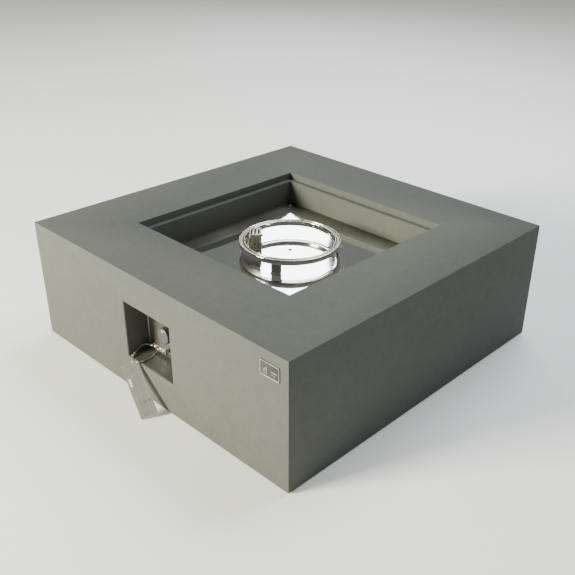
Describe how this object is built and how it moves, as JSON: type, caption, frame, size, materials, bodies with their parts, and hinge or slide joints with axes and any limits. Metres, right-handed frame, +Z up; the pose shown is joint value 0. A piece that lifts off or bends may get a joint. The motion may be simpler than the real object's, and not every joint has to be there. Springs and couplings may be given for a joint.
{
  "type": "gas fire pit table",
  "caption": "Square cast concrete gas fire pit table with a sunk polished pan, a ring burner, a pilot cage and a control niche with a push-and-turn knob and a push igniter.",
  "frame": {"origin": "on the floor, under the middle of the square body", "axes": "+Z up, the face with the control niche and the badge towards -Y, +X to the right of someone who faces the niche"},
  "size_m": [0.914, 0.9775, 0.323],
  "materials": {
    "concrete": "cast concrete, fine sanded",
    "black_rubber": "moulded",
    "galvanised_steel": "galvanised",
    "wire_rope": "stranded, bright",
    "pilot_pipe": "drawn pipe",
    "pan_steel": "brushed",
    "screw_steel": "bright",
    "burner_steel": "rolled, bright edges",
    "mirror_steel": "polished",
    "brass": "machined",
    "ceramic": "glazed",
    "dark_steel": "heat darkened",
    "niche_steel": "satin grey paint",
    "bright_steel": "bright",
    "cast_alloy": "die cast",
    "black_plastic": "moulded",
    "badge_black": "gloss black",
    "label_metal": "satin, printed",
    "hose_steel": "corrugated",
    "wire_cover": "silicone sleeve"
  },
  "bodies": {
    "table": {"concrete_body": "concrete", "foot_1": "black_rubber", "foot_2": "black_rubber", "foot_3": "black_rubber", "foot_4": "black_rubber", "pan_rail_back": "galvanised_steel", "pan_rail_front": "galvanised_steel", "pan_rail_left": "galvanised_steel", "pan_rail_right": "galvanised_steel", "burner_pan": "pan_steel", "pan_screw_1": "screw_steel", "pan_screw_2": "screw_steel", "pan_screw_3": "screw_steel", "pan_screw_4": "screw_steel", "base_plate": "mirror_steel", "ring_burner": "burner_steel", "ring_leg_1": "burner_steel", "ring_leg_2": "burner_steel", "ring_leg_3": "burner_steel", "pilot_shield": "burner_steel", "burner_riser": "burner_steel", "gas_jet": "brass", "pilot_cage": "burner_steel", "pilot_burner": "brass", "spark_electrode": "ceramic", "flame_sensor": "dark_steel", "niche_box": "niche_steel", "control_panel": "niche_steel", "panel_screw_1": "screw_steel", "panel_screw_2": "screw_steel", "panel_screw_3": "screw_steel", "panel_screw_4": "screw_steel", "knob_bezel": "bright_steel", "gas_valve": "cast_alloy", "gas_inlet_fitting": "brass", "gas_outlet_nut": "brass", "igniter_bezel": "black_plastic", "igniter_body": "black_plastic", "igniter_nut": "galvanised_steel", "anchor_bar": "bright_steel", "bar_screw_1": "screw_steel", "bar_screw_2": "screw_steel", "lanyard_ball": "bright_steel", "lanyard_wire": "wire_rope", "lanyard_sleeve": "bright_steel", "rating_plate": "label_metal", "badge_plate": "badge_black", "badge_border": "bright_steel", "burner_hose": "hose_steel", "pilot_tube": "pilot_pipe", "ignition_wire": "wire_cover"},
    "stem_push": {"stem_collar": "bright_steel"},
    "knob": {"control_knob": "black_plastic", "valve_stem": "bright_steel"},
    "igniter_push": {"igniter_button": "black_plastic"}
  },
  "joints": [
    {"name": "knob_push", "type": "slide", "parent": "table", "child": "stem_push", "axis": [0, 1, 0], "range_m": [0, 0.003], "stiffness_N_per_m": 900, "springref_m": -0.002},
    {"name": "knob_turn", "type": "hinge", "parent": "stem_push", "child": "knob", "pos_m": [0.004, -0.4, 0.166], "axis": [0, -1, 0], "range_deg": [0, 180]},
    {"name": "igniter_press", "type": "slide", "parent": "table", "child": "igniter_push", "axis": [0, 1, 0], "range_m": [0, 0.005], "stiffness_N_per_m": 500, "springref_m": -0.003}
  ]
}
